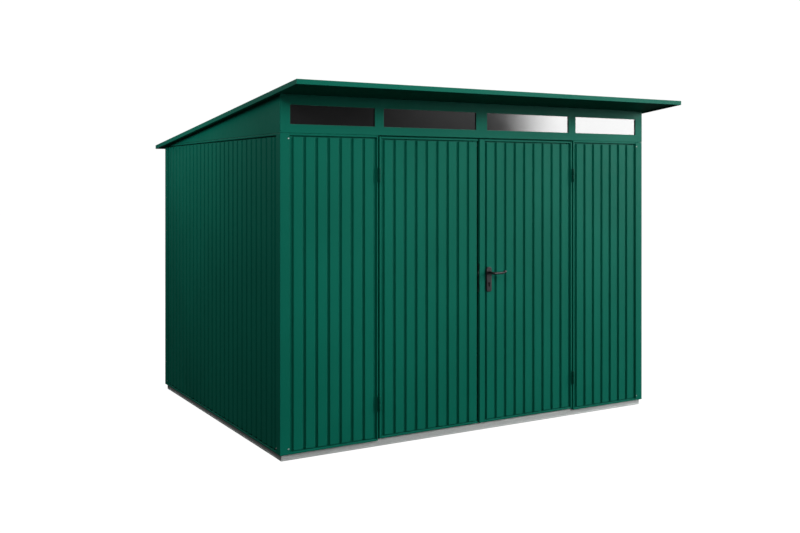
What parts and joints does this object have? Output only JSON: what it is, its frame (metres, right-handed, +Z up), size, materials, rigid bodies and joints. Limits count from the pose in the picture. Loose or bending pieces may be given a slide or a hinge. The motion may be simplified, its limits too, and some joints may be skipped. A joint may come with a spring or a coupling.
{
  "type": "metal storage shed",
  "caption": "Green profiled-steel garden shed with a mono-pitch roof, front canopy, window band under the eaves and side-hung double doors with a lever handle.",
  "frame": {"origin": "on the ground under the middle of the roof's outline", "axes": "+Z up; the front with the doors faces -Y; +X is to the right of someone who looks at the front"},
  "size_m": [3.02, 2.716, 2.236],
  "materials": {
    "green_sheet": "satin powder coat, moss green",
    "green_frame": "satin powder coat, moss green",
    "zinc": "dull galvanised",
    "tinted_pane": "smooth dark pane",
    "lock_metal": "satin nickel",
    "black_plastic": "fine satin moulded"
  },
  "bodies": {
    "shed": {"base_frame": "zinc", "floor_panel": "zinc", "threshold": "zinc", "front_left_post": "green_frame", "front_right_post": "green_frame", "back_left_post": "green_frame", "back_right_post": "green_frame", "front_left_sheet": "green_sheet", "front_right_sheet": "green_sheet", "left_wall_sheet": "green_sheet", "right_wall_sheet": "green_sheet", "back_wall_sheet": "green_sheet", "front_bottom_rails": "green_frame", "left_bottom_rail": "green_frame", "right_bottom_rail": "green_frame", "back_bottom_rail": "green_frame", "front_top_rails": "green_frame", "left_top_rail": "green_frame", "right_top_rail": "green_frame", "back_top_rail": "green_frame", "left_door_jamb": "green_frame", "right_door_jamb": "green_frame", "door_head": "green_frame", "jamb_hinges": "green_frame", "window_band": "green_frame", "window_panes": "tinted_pane", "left_gable": "green_frame", "right_gable": "green_frame", "roof_sheet": "green_sheet", "roof_purlins": "zinc", "soffit": "green_frame", "front_roof_trim": "green_frame", "back_roof_trim": "green_frame", "left_roof_trim": "green_frame", "right_roof_trim": "green_frame"},
    "left_door": {"left_door_frame": "green_frame", "left_door_sheet": "green_sheet", "left_door_hinges": "green_frame"},
    "right_door": {"right_door_frame": "green_frame", "right_door_sheet": "green_sheet", "right_door_hinges": "green_frame", "lock_case": "zinc", "lock_cylinder": "lock_metal", "handle_plates": "black_plastic"},
    "lever": {"lever_handle": "black_plastic"}
  },
  "joints": [
    {"name": "left_door_hinge", "type": "hinge", "parent": "shed", "child": "left_door", "pos_m": [-0.7905, -1.03, 0.996], "axis": [0, 0, -1], "range_deg": [0, 120]},
    {"name": "right_door_hinge", "type": "hinge", "parent": "shed", "child": "right_door", "pos_m": [0.7905, -1.03, 0.996], "axis": [0, 0, 1], "range_deg": [0, 120]},
    {"name": "lever_turn", "type": "hinge", "parent": "right_door", "child": "lever", "pos_m": [0.057, -1.022, 1.051], "axis": [0, 1, 0], "range_deg": [0, 40], "stiffness_Nm_per_rad": 1.5, "springref_deg": -20.05}
  ]
}
